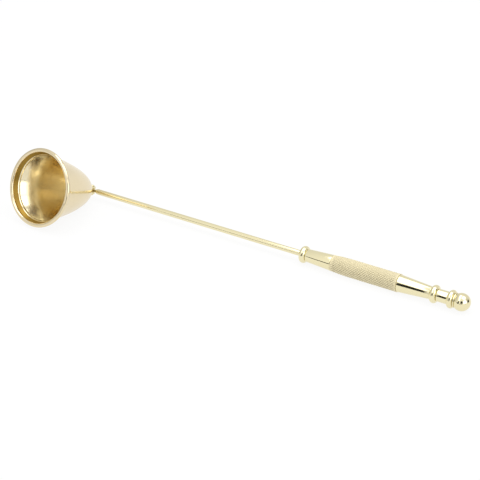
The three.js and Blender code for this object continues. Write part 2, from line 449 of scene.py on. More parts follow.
def bulge(start: float, length: float, end_radius: float, full_radius: float,
          steps: int = 24) -> Outline:
    """Swells from an end radius to a full radius and back, as half an ellipse.

    Args:
        start: Where the bulge starts along the axis.
        length: Its length along the axis.
        end_radius: Its radius at both ends.
        full_radius: Its radius at the middle.
        steps: Segments in the half ellipse.

    Returns:
        The outline's points.
    """
    outline: Outline = []
    for step in range(steps + 1):
        angle = math.pi * (1 - step / steps)
        along = start + length / 2 * (1 + math.cos(angle))
        outline.append((along, end_radius + (full_radius - end_radius) * math.sin(angle)))
    return outline


def dome(tip: float, base: float, radius: float, steps: int = 12) -> Outline:
    """Rounds an end as a quarter of an ellipse.

    Args:
        tip: Where the dome meets the axis.
        base: Where the dome has its full radius.
        radius: The full radius.
        steps: Segments in the quarter.

    Returns:
        The outline's points, from the base to the tip.
    """
    outline: Outline = []
    for step in range(steps + 1):
        angle = math.pi / 2 * step / steps
        along = base + (tip - base) * math.sin(angle)
        outline.append((along, radius * math.cos(angle) if step < steps else 0.0))
    return outline


def ring(along: float, reaches: Sequence[float]) -> list[Point]:
    """Gives corners evenly round the X axis.

    Args:
        along: Where the ring is along the axis.
        reaches: How far each corner is from the axis.

    Returns:
        The corners.
    """
    corners: list[Point] = []
    for place, reach in enumerate(reaches):
        angle = 2 * math.pi * place / len(reaches)
        corners.append((along, reach * math.cos(angle), reach * math.sin(angle)))
    return corners


def loops_of(count: int, size: int) -> list[range]:
    """Gives the corner numbers of loops that follow each other, each of a size."""
    return [range(loop * size, (loop + 1) * size) for loop in range(count)]


def loop_faces(loops: Sequence[Sequence[int]], closed: bool) -> list[list[int]]:
    """Gives the faces between loops of corner numbers, each joined to the next.

    Args:
        loops: The loops, all of one size. A loop on the axis repeats one corner.
        closed: Whether the last loop is joined to the first.

    Returns:
        The faces, loop by loop.
    """
    faces: list[list[int]] = []
    following = [*loops[1:], loops[0]] if closed else loops[1:]
    for near, far in zip(loops, following):
        for place in range(len(near)):
            after = (place + 1) % len(near)
            corners = [near[place], near[after], far[after], far[place]]
            faces.append(list(dict.fromkeys(corners)))
    return faces


def shade(mesh: bpy.types.Mesh, crease: float) -> None:
    """Shades a mesh smooth, with edges sharper than an angle in degrees kept sharp."""
    mesh.polygons.foreach_set("use_smooth", [True] * len(mesh.polygons))
    mesh.set_sharp_from_angle(angle=math.radians(crease))


def finished_mesh(name: str, points: Sequence[Point], faces: Sequence[Sequence[int]],
                  crease: float = CREASE_ANGLE) -> bpy.types.Mesh:
    """Makes a smooth-shaded mesh whose faces point out.

    Args:
        name: The mesh's name.
        points: Its corners in millimetres.
        faces: Its faces as corner numbers.
        crease: The angle, in degrees, above which an edge stays sharp.

    Returns:
        The mesh, in metres.
    """
    mesh = bpy.data.meshes.new(name)
    mesh.from_pydata([Vector(point) * MM for point in points], [], faces)
    work = bmesh.new()
    work.from_mesh(mesh)
    bmesh.ops.recalc_face_normals(work, faces=work.faces)
    work.to_mesh(mesh)
    work.free()
    shade(mesh, crease)
    return mesh


def turned(name: str, outline: Outline, sides: int, closed: bool = True,
           zones: Sequence[int] = ()) -> bpy.types.Mesh:
    """Turns an outline about the X axis.

    Args:
        name: The mesh's name.
        outline: Points as (along, radius), in millimetres.
        sides: Facets round the axis.
        closed: Whether the outline closes on itself. One that doesn't starts and ends on the axis.
        zones: The material number of each stretch of the outline, where it has more than one.

    Returns:
        The turned mesh.
    """
    points: list[Point] = []
    loops: list[Sequence[int]] = []
    for along, radius in outline:
        if radius == 0:
            loops.append([len(points)] * sides)
            points.append((along, 0.0, 0.0))
        else:
            loops.append(range(len(points), len(points) + sides))
            points += ring(along, [radius] * sides)
    mesh = finished_mesh(name, points, loop_faces(loops, closed))
    if zones:
        numbers = [int(zone) for zone in zones for _ in range(sides)]
        mesh.polygons.foreach_set("material_index", numbers)
    return mesh


def sleeve(name: str, outside: Outline, bore: float, sides: int) -> bpy.types.Mesh:
    """Turns a sleeve with a straight bore.

    Args:
        name: The mesh's name.
        outside: The outside's points from one end face to the other.
        bore: The bore's radius.
        sides: Facets round the axis.

    Returns:
        The turned mesh.
    """
    return turned(name, [(outside[0][0], bore), *outside, (outside[-1][0], bore)], sides)


def soft_sleeve(name: str, span: tuple[float, float], radii: tuple[float, float], bore: float,
                softness: float, steps: int, sides: int) -> bpy.types.Mesh:
    """Turns a straight or tapered sleeve with softened edges.

    Args:
        name: The mesh's name.
        span: Where it starts and ends along the axis.
        radii: Its radius at each end.
        bore: The bore's radius.
        softness: How far from an edge its rounding starts.
        steps: Segments in each rounding.
        sides: Facets round the axis.

    Returns:
        The turned mesh.
    """
    outline = rounded([
        (span[0], bore, 0),
        (span[0], radii[0], softness),
        (span[1], radii[1], softness),
        (span[1], bore, 0),
    ], steps)
    return turned(name, outline, sides)


def eye_plate(name: str, edge: Callable[[float], Outline], hole: float, low: float, high: float,
              rounding: float, steps: int = 3) -> bpy.types.Mesh:
    """Makes a flat plate with a round hole about the Z axis and rounded edges.

    Args:
        name: The mesh's name.
        edge: Gives the plate's edge drawn in by a distance, as (x, y) points that all see the hole's
            middle.
        hole: The hole's radius.
        low: The plate's lower face.
        high: The plate's upper face.
        rounding: The edges' rounding.
        steps: Segments in each rounding.

    Returns:
        The plate's mesh.
    """
    sections: list[tuple[float, float]] = []
    for step in range(steps + 1):
        angle = math.pi / 2 * step / steps
        inset = rounding * (1 - math.sin(angle))
        sections.append((inset, low + rounding * (1 - math.cos(angle))))
    sections += [(inset, low + high - height) for inset, height in reversed(sections)]
    rings = [[(x, y, height) for x, y in edge(inset)] for inset, height in sections]
    round_hole = [Vector(point).normalized() * hole for point in edge(0.0)]
    rings += [[(point.x, point.y, height) for point in round_hole] for height in (high, low)]
    points = [point for corners in rings for point in corners]
    faces = loop_faces(loops_of(len(rings), len(round_hole)), closed=True)
    return finished_mesh(name, points, faces)


def placed(name: str, data: bpy.types.ID) -> bpy.types.Object:
    """Puts a mesh, a lamp or a camera in the scene.

    Args:
        name: The object's name.
        data: The mesh, lamp or camera.

    Returns:
        The object.
    """
    thing = bpy.data.objects.new(name, data)
    bpy.context.scene.collection.objects.link(thing)
    return thing


def joined(name: str, meshes: Sequence[bpy.types.Mesh]) -> bpy.types.Mesh:
    """Joins closed meshes that overlap into one closed mesh.

    Args:
        name: The new mesh's name.
        meshes: The meshes, which are used up.

    Returns:
        The joined mesh.
    """
    parts = [placed(f"{name}_part", mesh) for mesh in meshes]
    for part in parts[1:]:
        modifier = parts[0].modifiers.new("join", "BOOLEAN")
        modifier.operation = "UNION"
        modifier.solver = "EXACT"
        modifier.object = part
    depsgraph = bpy.context.evaluated_depsgraph_get()
    whole = bpy.data.meshes.new_from_object(parts[0].evaluated_get(depsgraph))
    whole.name = name
    for part in parts:
        bpy.data.objects.remove(part)
    shade(whole, CREASE_ANGLE)
    return whole


@dataclass(frozen=True)
class Pivot:
    """The hinge, and the directions that set the pieces on both sides of it.

    Attributes:
        place: The hinge's middle.
        pin: The direction of the hinge's pin.
        mouth: The direction out of the bell's mouth.
    """

    place: Vector
    pin: Vector
    mouth: Vector

    @classmethod
    def of_frame(cls, packed: dict) -> "Pivot":
        """Reads the hinge and the mouth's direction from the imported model.


        Returns:
            The pivot.
        """
        joint = packed["joints"][0]
        mount = packed["record"]["mounts"][0]
        pin = Vector(joint["axis"]).normalized()
        return cls(Vector(joint["pos_m"]), pin, Vector(mount["axis"]).normalized())

    def _placement(self, along: Vector) -> Matrix:
        """Gives a placement at the hinge with local X along a direction and local Z along the pin."""
        axes = Matrix((along, self.pin.cross(along), self.pin)).transposed()
        return Matrix.Translation(self.place) @ axes.to_4x4()

    def stem_placement(self) -> Matrix:
        """Gives the handle's placement, with local X along the stem."""
        return self._placement(Vector((1.0, 0.0, 0.0)))

    def bell_placement(self) -> Matrix:
        """Gives the bell's placement, with local -X out of the mouth."""
        return self._placement(-self.mouth)

    def station(self, node: str) -> tuple[float, float]:
        """Gives where a handle piece starts and ends, from the hinge, in millimetres."""
        low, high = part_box(node)
        return (low.x - self.place.x) / MM, (high.x - self.place.x) / MM

    def radius(self, node: str) -> float:
        """Gives a handle piece's largest radius in millimetres."""
        low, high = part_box(node)
        return (high.y - low.y) / 2 / MM


@dataclass
class SubAssembly:
    """Pieces that move with one body and share a placement.

    Attributes:
        pivot: The hinge that the pieces are placed from.
        bore_clearance: How much wider in radius a hole is than what goes through it.
        seat_gap: The gap between pieces that sit on each other.
    """

    pivot: Pivot
    bore_clearance: float = 0.1
    seat_gap: float = 0.25

    def add(self, name: str, node: str, mesh: bpy.types.Mesh, placement: Matrix, body: Body,
            slot: Slot, *finishes: BrassFinish) -> None:
        """Makes a piece of a mesh, dresses it and hangs it on its body in place of its plain solid.

        Args:
            name: The piece's name.
            node: The solid that it stands for.
            mesh: Its mesh, in the placement's own axes.
            placement: Where it sits.
            body: The body that it moves with.
            slot: The record's slot for its finish; not used.
            finishes: Its finishes, in the order of the mesh's material numbers.
        """
        along = mesh.attributes.new(BrassFinish.ALONG_ATTRIBUTE, "FLOAT", "POINT")
        along.data.foreach_set("value", [vertex.co.x for vertex in mesh.vertices])
        mesh.transform(placement)
        piece = placed(name, mesh)
        for finish in finishes:
            mesh.materials.append(finish.material())
        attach(piece, body.value)
        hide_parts(node)
        LOG.info("%s: %d faces on %s", name, len(mesh.polygons), body.value)


@dataclass
class BellAssembly(SubAssembly):
    """The spun bell and what fastens it, all turning with the bell about the pin.

    Sizes along the bell's axis are measured from the hinge, and depths from the mouth.

    Attributes:
        lip_roll: Degrees that each side of the lip rolls round from the rim.
        crease_skip: Points at the dome's open end that the crease's rounding takes the place of.
        band_slope: Degrees that the band's rings lean towards the mouth.
        band_fade: The share of the band, from its deep end, over which that slope grows.
        band_margin: Where the band stops before the inside step, as a share of a dome step.
        apex_stand_off: How far the bell's apex is from the hinge.
        nut_dome_share: The dome's radius as a share of the nut's flats.
    """

    lip_radius: float = 20.94
    lip_bead_radius: float = 1.1
    rim_flat_width: float = 0.6
    lip_roll: float = 140.0
    crease_radius: float = 17.8
    crease_depth: float = 5.5
    crease_softness: float = 0.45
    crease_steps: int = 8
    crease_skip: int = 3
    bell_height: float = 37.5
    wall: float = 0.9
    inner_step_radius: float = 17.45
    inner_step_depth: float = 3.8
    inner_step_softness: float = 0.45
    band_end_depth: float = 18.3
    band_rings: int = 36
    band_slope: float = 33.0
    band_fade: float = 0.75
    band_margin: float = 0.35
    apex_radius: float = 3.0
    apex_softness: float = 0.5
    apex_stand_off: float = 5.0

    stud_radius: float = 1.2
    apex_washer_radius: float = 2.9
    inner_washer_radius: float = 2.7
    washer_thickness: float = 0.5
    washer_rounding: float = 0.14
    nut_radius: float = 2.5
    nut_height: float = 2.0
    nut_chamfer: float = 0.2
    nut_dome_height: float = 1.5
    nut_dome_share: float = 0.96
    nut_sides: int = 72

    clevis_face: float = 2.9
    clevis_base_thickness: float = 1.1
    clevis_base_radius: float = 3.0
    clevis_rounding: float = 0.22
    clevis_steps: int = 4
    ear_radius: float = 2.1
    ear_inside: float = 0.87
    ear_outside: float = 2.07
    ear_rounding: float = 0.28
    pin_radius: float = 0.8
    pin_head_radius: float = 1.45
    pin_head_height: float = 0.55
    pin_tail: float = 0.25
    burr_radius: float = 1.35
    burr_thickness: float = 0.4
    burr_rounding: float = 0.12

    bell_sides: int = 160
    small_sides: int = 48
    small_steps: int = 3
    dome_steps: int = 44
    edge_steps: int = 20
    foot_steps: int = 10

    @property
    def stud_hole(self) -> float:
        """The radius of the holes that the stud goes through."""
        return self.stud_radius + self.bore_clearance

    @property
    def pin_hole(self) -> float:
        """The radius of the holes that the pin goes through."""
        return self.pin_radius + self.bore_clearance

    @property
    def inner_washer_start(self) -> float:
        """Where the washer inside the bell starts along the axis."""
        return -self.apex_stand_off - self.wall - self.seat_gap - self.washer_thickness

    @property
    def nut_face(self) -> float:
        """Where the nut seats along the axis."""
        return self.inner_washer_start - self.seat_gap

    def build(self) -> None:
        """Builds every piece on the bell's side of the pivot."""
        placement = self.pivot.bell_placement()
        fastener = (placement, Body.BELL, Slot.FASTENER, FASTENER_TURNED)
        upright = placement @ Matrix.Rotation(-math.pi / 2, 4, "Y")
        riveted = (upright, Body.BELL, Slot.FASTENER, FASTENER_TURNED)
        apex_washer_start = self.seat_gap - self.apex_stand_off
        self._build_bell(placement)
        apex_washer = self._washer("apex_seat_washer", apex_washer_start, self.apex_washer_radius)
        self.add("apex_seat_washer", "apex_washer", apex_washer, *fastener)
        self.add("clevis_with_stud", "clevis", self._clevis(), *fastener)
        inner_washer = self._washer("inside_washer", self.inner_washer_start, self.inner_washer_radius)
        self.add("inside_washer", "inner_washer", inner_washer, *fastener)
        self.add("domed_cap_nut", "cap_nut", self._cap_nut(), *fastener)
        self.add("rivet_pin", "hinge_pin", self._pin(), *riveted)
        self.add("rivet_burr", "pin_burr", self._burr(), *riveted)

    def _shell(self, rim: float, rim_radius: float, seat: float) -> Outline:
        """Gives a parabolic dome, from its open end to its apex.

        Args:
            rim: Where the open end is along the axis.
            rim_radius: The open end's radius.
            seat: Where the apex is along the axis.

        Returns:
            The dome's points.
        """
        outline: Outline = []
        for step in range(self.dome_steps + 1):
            share = 1 - step / self.dome_steps
            radius = self.apex_radius + (rim_radius - self.apex_radius) * share
            outline.append((seat - (seat - rim) * share * share, radius))
        return outline

    def _rolled_lip(self, mouth: float, side: int) -> Outline:
        """Gives one side of the rolled lip.

        Args:
            mouth: Where the flat rim is along the axis.
            side: 1 for the outside and -1 for the inside.

        Returns:
            The points from the rim to where the roll ends.
        """
        flat_angle = math.asin(self.rim_flat_width / 2 / self.lip_bead_radius)
        middle = mouth + self.lip_bead_radius * math.cos(flat_angle)
        sweep = math.radians(self.lip_roll) - flat_angle
        outline: Outline = []
        for step in range(self.edge_steps + 1):
            angle = flat_angle + sweep * step / self.edge_steps
            radius = self.lip_radius - self.lip_bead_radius * (1 - side * math.sin(angle))
            outline.append((middle - self.lip_bead_radius * math.cos(angle), radius))
        return outline

    def _turned_band(self, start: tuple[float, float], end: tuple[float, float]) -> Outline:
        """Gives a band of fine turned rings, each a narrow cone that faces the mouth.

        The cones are flatter in the throat.

        Args:
            start: The band's deep end as (along, radius).
            end: The band's end near the mouth as (along, radius).

        Returns:
            The points from the deep end to the mouth.
        """
        outline: Outline = []
        for number in range(self.band_rings):
            share = (number + 1) / self.band_rings
            near = Vector(start).lerp(Vector(end), number / self.band_rings)
            far = Vector(start).lerp(Vector(end), share)
            cut = math.tan(math.radians(self.band_slope)) * (near.x - far.x)
            ridge = near.y + (far.y - cut - near.y) * min(share / self.band_fade, 1.0)
            outline.append((near.x, ridge))
            outline.append((far.x, far.y))
        return outline

    def _build_bell(self, placement: Matrix) -> None:
        """Builds the spun bell, in one outline that runs from the rim over the apex and back inside.

        Args:
            placement: Where the bell sits.
        """
        apex = -self.apex_stand_off
        mouth = apex - self.bell_height
        inner_apex = apex - self.wall
        step_along = mouth + self.inner_step_depth
        outer = self._shell(mouth + self.crease_depth, self.crease_radius, apex)
        inner = self._shell(step_along, self.inner_step_radius, inner_apex)[::-1]
        lip_outside = self._rolled_lip(mouth, 1)
        lip_inside = self._rolled_lip(mouth, -1)[::-1]
        outside = lip_outside[:-1] + rounded([
            (*lip_outside[-1], 0),
            (*outer[0], self.crease_softness),
            *[(*point, 0) for point in outer[self.crease_skip:-1]],
            (apex, self.apex_radius, self.apex_softness),
            (apex, self.stud_hole, 0),
        ], self.crease_steps)
        band_start = mouth + self.band_end_depth
        deep = [point for point in inner if point[0] > band_start]
        near = [point for point in inner if point[0] <= band_start]
        band_close = Vector(near[-1]).lerp(Vector(near[-2]), self.band_margin)
        band = self._turned_band(near[0], (band_close.x, band_close.y))
        step = rounded([
            (*band[-1], 0),
            (step_along, near[-1][1], self.inner_step_softness),
            (*lip_inside[0], 0),
        ], self.crease_steps)[1:-1]
        throat_stretches = 2 * round(self.band_rings * self.band_fade)
        zones = [
            *[BellZone.LIP] * self.edge_steps,
            *[BellZone.OUTSIDE] * (len(outside) - self.edge_steps),
            *[BellZone.INSIDE] * (1 + len(deep)),
            *[BellZone.THROAT] * throat_stretches,
            *[BellZone.BAND] * (len(band) + len(step) - throat_stretches - 1),
            # The recess takes the finish with the painted shade.
            BellZone.RECESS,
            *[BellZone.LIP] * len(lip_inside),
        ]
        outline = [*outside, (inner_apex, self.stud_hole), *deep, *band, *step, *lip_inside]
        mesh = turned("spun_bell", outline, self.bell_sides, zones=zones)
        finishes = [BELL_FINISHES[zone] for zone in BellZone]
        self.add("spun_bell", "bell", mesh, placement, Body.BELL, Slot.BELL, *finishes)

    def _washer(self, name: str, start: float, radius: float) -> bpy.types.Mesh:
        """Makes a washer on the stud, with rounded edges.

        Args:
            name: The mesh's name.
            start: Where it starts along the axis.
            radius: Its radius.

        Returns:
            The washer's mesh.
        """
        span = (start, start + self.washer_thickness)
        return soft_sleeve(name, span, (radius, radius), self.stud_hole, self.washer_rounding,
                           self.small_steps, self.small_sides)

    def _cap_nut(self) -> bpy.types.Mesh:
        """Makes the hexagon nut with chamfered corners and a domed end.

        Returns:
            The nut's mesh.
        """
        half_side = math.pi / 6
        flat = self.nut_radius * math.cos(half_side)
        end = self.nut_face - self.nut_height
        layers = [
            (end - self.seat_gap, self.stud_hole),
            (self.nut_face, self.stud_hole),
            (self.nut_face, flat),
            (self.nut_face - self.nut_chamfer, self.nut_radius),
            (end + self.nut_chamfer, self.nut_radius),
            (end, flat),
            *dome(end - self.nut_dome_height, end, flat * self.nut_dome_share)[:-1],
        ]
        hexagon: list[float] = []
        for side in range(self.nut_sides):
            angle = 2 * math.pi * side / self.nut_sides
            hexagon.append(flat / math.cos((angle + half_side) % (2 * half_side) - half_side))
        points: list[Point] = []
        for along, radius in layers:
            points += ring(along, [min(radius, reach) for reach in hexagon])
        loops = loops_of(len(layers), self.nut_sides)
        faces = [*loop_faces(loops, closed=False), list(loops[0]), list(loops[-1])]
        return finished_mesh("domed_cap_nut", points, faces)

    def _ear_edge(self, inset: float) -> Outline:
        """Gives an ear's edge, drawn in except at its foot in the clevis base.

        Args:
            inset: How far the edge is drawn in.

        Returns:
            The edge's points.
        """
        reach = self.ear_radius - inset
        foot = -self.clevis_face - self.clevis_base_thickness / 2
        edge: Outline = []
        for step in range(self.edge_steps + 1):
            angle = math.pi * (step / self.edge_steps - 0.5)
            edge.append((reach * math.cos(angle), reach * math.sin(angle)))
        for step in range(self.foot_steps + 1):
            edge.append((foot, reach * (1 - 2 * step / self.foot_steps)))
        return edge

    def _clevis(self) -> bpy.types.Mesh:
        """Makes the clevis: a base disc with a stud through the apex, and two ears over the pivot.

        Returns:
            The clevis's mesh.
        """
        face = -self.clevis_face
        back = face - self.clevis_base_thickness
        stud_end = self.nut_face - self.nut_height
        base = turned("clevis_base", rounded([
            (stud_end, 0, 0),
            (stud_end, self.stud_radius, self.washer_rounding),
            (back, self.stud_radius, 0),
            (back, self.clevis_base_radius, self.clevis_rounding),
            (face, self.clevis_base_radius, self.clevis_rounding),
            (face, 0, 0),
        ], self.clevis_steps), self.small_sides, closed=False)
        ears: list[bpy.types.Mesh] = []
        for low, high in ((self.ear_inside, self.ear_outside), (-self.ear_outside, -self.ear_inside)):
            ears.append(eye_plate("ear", self._ear_edge, self.pin_hole, low, high, self.ear_rounding))
        return joined("clevis_with_stud", [base, *ears])

    def _pin(self) -> bpy.types.Mesh:
        """Makes the rivet pin with its domed head, about the X axis.

        Returns:
            The pin's mesh.
        """
        head = self.ear_outside + self.seat_gap
        tail = -head - self.burr_thickness - self.pin_tail
        outline = [
            (tail, 0.0),
            (tail, self.pin_radius - self.burr_rounding),
            (tail + self.burr_rounding, self.pin_radius),
            (head, self.pin_radius),
            *dome(head + self.pin_head_height, head, self.pin_head_radius),
        ]
        return turned("rivet_pin", outline, self.small_sides, closed=False)

    def _burr(self) -> bpy.types.Mesh:
        """Makes the small ring that the pin's tail is riveted over, about the X axis.

        Returns:
            The ring's mesh.
        """
        end = -self.ear_outside - self.seat_gap
        radii = (self.burr_radius, self.burr_radius)
        return soft_sleeve("rivet_burr", (end - self.burr_thickness, end), radii, self.pin_hole,
                           self.burr_rounding, self.small_steps, self.small_sides)


@dataclass
class Knurl:
    """A diamond knurl: rows of small pyramids round a sleeve, between two families of grooves.

    Attributes:
        starts: Grooves of each family round the sleeve.
        pitch: The diamonds' length along the sleeve, about, in millimetres.
        depth: The depth of the right-handed grooves in millimetres.
        cross_depth: The depth of the left-handed grooves in millimetres.
        groove_painted_shade: How far the painted shade at the bottom of the grooves goes towards the
            stain.
        crease: The angle, in degrees, above which an edge of the knurl stays sharp.
    """

    starts: int = 20
    pitch: float = 1.35
    depth: float = 0.24
    cross_depth: float = 0.12
    groove_painted_shade: float = 0.38
    crease: float = 2.0

    STEPS = 4
    HALF_STEPS = STEPS // 2

    def mesh(self, name: str, span: tuple[float, float], radius: Callable[[float], float],
             bore: float) -> bpy.types.Mesh:
        """Cuts the knurl over the whole of a sleeve.

        Args:
            name: The mesh's name.
            span: Where the sleeve starts and ends along the axis.
            radius: Gives the crests' radius at a distance from the sleeve's start.
            bore: The bore's radius.

        Returns:
            The sleeve's mesh, with the painted shade of its grooves in a vertex attribute.
        """
        length = span[1] - span[0]
        rows = self.STEPS * round(length / self.pitch)
        columns = self.STEPS * self.starts
        points: list[Point] = []
        painted_shades: list[float] = []
        for row in range(rows + 1):
            along = length * row / rows
            fade = min(1.0, min(row, rows - row) / self.STEPS)
            sunk = [fade * self._sunk(row, column) for column in range(columns)]
            crest = radius(along)
            points += ring(span[0] + along, [crest - depth for depth in sunk])
            # Painted shade: the deeper a corner lies in the grooves, the darker its colour.
            painted_shades += [self.groove_painted_shade * (depth / self.depth) ** 2 for depth in sunk]
        for along in span:
            points += ring(along, [bore] * columns)
            painted_shades += [0.0] * columns
        *outside, front, rear = loops_of(len(points) // columns, columns)
        faces: list[list[int]] = []
        for number, corners in enumerate(loop_faces(outside, closed=False)):
            row, column = divmod(number, columns)
            split = (row + column) % 2
            faces.append([corners[split], corners[split + 1], corners[split + 2]])
            faces.append([corners[split], corners[split + 2], corners[split - 1]])
        faces += loop_faces([outside[0], front, rear, outside[-1]], closed=False)
        mesh = finished_mesh(name, points, faces, self.crease)
        attribute = mesh.attributes.new(BrassFinish.GROOVE_PAINTED_SHADE_ATTRIBUTE, "FLOAT", "POINT")
        attribute.data.foreach_set("value", painted_shades)
        return mesh

    def _sunk(self, row: int, column: int) -> float:
        """Gives how far a corner lies under the crests, in the deeper of the grooves nearest to it.

        Args:
            row: The corner's row, of which each diamond takes up as many as it has steps.
            column: The corner's column, counted in the same way.

        Returns:
            The depth in millimetres.
        """
        right_handed = abs((row + column) % self.STEPS - self.HALF_STEPS) / self.HALF_STEPS
        left_handed = abs((row - column) % self.STEPS - self.HALF_STEPS) / self.HALF_STEPS
        return max(self.depth * right_handed, self.cross_depth * left_handed)


@dataclass
class HandleAssembly(SubAssembly):
    """The stem with its flat eye, and the turned pieces threaded on it.

    Attributes:
        nose_start: Where the round rod starts, from the hinge.
        tongue_width: The width of the flat that joins the eye to the rod.
        grip_taper_length: How far from its front end the grip swells.
        ball_flat_depth: How much of the ball is cut off where it seats.
    """

    stem_radius: float = 1.5
    stem_rounding: float = 0.2
    nose_start: float = 3.0
    nose_radius: float = 0.9
    nose_length: float = 1.5
    nose_rounding: float = 0.5
    eye_radius: float = 2.0
    eye_thickness: float = 1.5
    eye_hole: float = 0.9
    eye_rounding: float = 0.25
    tongue_width: float = 2.5

    collar_end_radius: float = 2.9
    ferrule_front_radius: float = 3.3
    grip_front_radius: float = 4.12
    grip_taper_length: float = 10.0
    rear_ferrule_end_radius: float = 3.15
    bead_end_radius: float = 3.3
    edge_softness: float = 0.3
    ring_softness: float = 0.32
    ball_flat_depth: float = 1.81

    sides: int = 96
    stem_sides: int = 48
    edge_steps: int = 24
    tongue_end_steps: int = 6
    stem_steps: int = 4
    softness_steps: int = 5
    ball_steps: int = 48
    knurl: Knurl = field(default_factory=Knurl)

    @property
    def bore(self) -> float:
        """The radius of the holes that the stem goes through."""
        return self.stem_radius + self.bore_clearance

    def build(self) -> None:
        """Builds the stem and every piece on it, from the pivot to the ball."""
        radius = self.pivot.radius
        collar = self._bead("front_collar", self.collar_end_radius)
        flare = (self.ferrule_front_radius, self.grip_front_radius)
        taper = (radius("rear_ferrule"), self.rear_ferrule_end_radius)
        neck = (radius("finial_neck"), radius("finial_neck"))
        thin_ring = (radius("finial_ring"), radius("finial_ring"))
        self._fit("drawn_stem", "stem", self._stem(), STEM_POLISH)
        self._fit("turned_collar", "front_collar", collar)
        self._fit("flared_ferrule", "front_ferrule", self._soft("front_ferrule", flare))
        self._fit("diamond_grip", "knurled_grip", self._grip(), GRIP_KNURL, Slot.GRIP)
        self._fit("tapered_ferrule", "rear_ferrule", self._soft("rear_ferrule", taper))
        self._fit("end_bead", "rear_bead", self._bead("rear_bead", self.bead_end_radius))
        self._fit("turned_neck", "finial_neck", self._soft("finial_neck", neck))
        self._fit("last_bead", "finial_bead", self._bead("finial_bead", self.bead_end_radius))
        self._fit("thin_ring", "finial_ring", self._soft("finial_ring", thin_ring, self.ring_softness))
        self._fit("ball_end", "ball_finial", self._ball())

    def _fit(self, name: str, node: str, mesh: bpy.types.Mesh, finish: BrassFinish = HANDLE_POLISH,
             slot: Slot = Slot.HANDLE) -> None:
        """Adds a piece of the handle in its finish."""
        self.add(name, node, mesh, self.pivot.stem_placement(), Body.HANDLE, slot, finish)

    def _tongue_edge(self, inset: float) -> Outline:
        """Gives the edge of the flat eye and its tongue, drawn in except where it enters the rod.

        Args:
            inset: How far the edge is drawn in.

        Returns:
            The edge's points.
        """
        reach = self.eye_radius - inset
        half_width = self.tongue_width / 2 - inset
        opening = math.asin(half_width / reach)
        end = self.nose_start + self.nose_length
        edge: Outline = []
        for step in range(self.edge_steps + 1):
            angle = opening + (2 * math.pi - 2 * opening) * step / self.edge_steps
            edge.append((reach * math.cos(angle), reach * math.sin(angle)))
        for step in range(self.tongue_end_steps + 1):
            edge.append((end, half_width * (2 * step / self.tongue_end_steps - 1)))
        return edge

    def _stem(self) -> bpy.types.Mesh:
        """Makes the rod, with a tapered nose and a flat eye at the pivot.

        Returns:
            The stem's mesh.
        """
        _, end = self.pivot.station("stem")
        rod = turned("rod", rounded([
            (self.nose_start, 0, 0),
            (self.nose_start, self.nose_radius, self.stem_rounding),
            (self.nose_start + self.nose_length, self.stem_radius, self.nose_rounding),
            (end, self.stem_radius, self.stem_rounding),
            (end, 0, 0),
        ], self.stem_steps), self.stem_sides, closed=False)
        half = self.eye_thickness / 2
        eye = eye_plate("eye", self._tongue_edge, self.eye_hole, -half, half, self.eye_rounding)
        return joined("drawn_stem", [rod, eye])

    def _bead(self, node: str, end_radius: float) -> bpy.types.Mesh:
        """Makes a rounded ring.

        Args:
            node: The solid that it stands for.
            end_radius: The radius that it swells from.

        Returns:
            The ring's mesh.
        """
        start, end = self.pivot.station(node)
        outside = bulge(start, end - start, end_radius, self.pivot.radius(node))
        return sleeve(node, outside, self.bore, self.sides)

    def _soft(self, node: str, radii: tuple[float, float],
              softness: float | None = None) -> bpy.types.Mesh:
        """Makes a straight or tapered sleeve with softened edges.

        Args:
            node: The solid that it stands for.
            radii: Its radius at each end.
            softness: How far from an edge its rounding starts, where it isn't the handle's usual one.

        Returns:
            The sleeve's mesh.
        """
        return soft_sleeve(node, self.pivot.station(node), radii, self.bore,
                           softness or self.edge_softness, self.softness_steps, self.sides)

    def _grip_radius(self, full_radius: float, along: float) -> float:
        """Gives the grip's radius, which swells over its taper and then stays straight.

        Args:
            full_radius: The radius where it is straight.
            along: The distance from the grip's front end.

        Returns:
            The radius there.
        """
        share = min(along / self.grip_taper_length, 1.0)
        swell = full_radius - self.grip_front_radius
        return self.grip_front_radius + swell * share * (2 - share)

    def _grip(self) -> bpy.types.Mesh:
        """Makes the knurled grip.

        Returns:
            The grip's mesh.
        """
        span = self.pivot.station("knurled_grip")
        radius = partial(self._grip_radius, self.pivot.radius("knurled_grip"))
        return self.knurl.mesh("diamond_grip", span, radius, self.bore)

    def _ball(self) -> bpy.types.Mesh:
        """Makes the ball, cut flat where it seats, with a blind hole for the stem's end.

        Returns:
            The ball's mesh.
        """
        start, _ = self.pivot.station("ball_finial")
        radius = self.pivot.radius("ball_finial")
        middle = start + radius - self.ball_flat_depth
        hole_end = middle + self.seat_gap
        seat_angle = math.acos((start - middle) / radius)
        outline: Outline = [(hole_end, 0.0), (hole_end, self.bore), (start, self.bore)]
        for step in range(self.ball_steps):
            angle = seat_angle * (1 - step / self.ball_steps)
            outline.append((middle + radius * math.cos(angle), radius * math.sin(angle)))
        outline.append((middle + radius, 0.0))
        return turned("ball_end", outline, self.sides, closed=False)


def studio_sheet(name: str, corners: Sequence[Sequence[float]],
                 material: bpy.types.Material) -> bpy.types.Object:
    """Makes a flat four-cornered thing of the studio, which isn't part of the snuffer.

    Args:
        name: Its name.
        corners: Its corners in metres.
        material: Its material.

    Returns:
        The sheet.
    """
    mesh = bpy.data.meshes.new(name)
    mesh.from_pydata(corners, [], [(0, 1, 2, 3)])
    mesh.materials.append(material)
    sheet = placed(name, mesh)
    return sheet


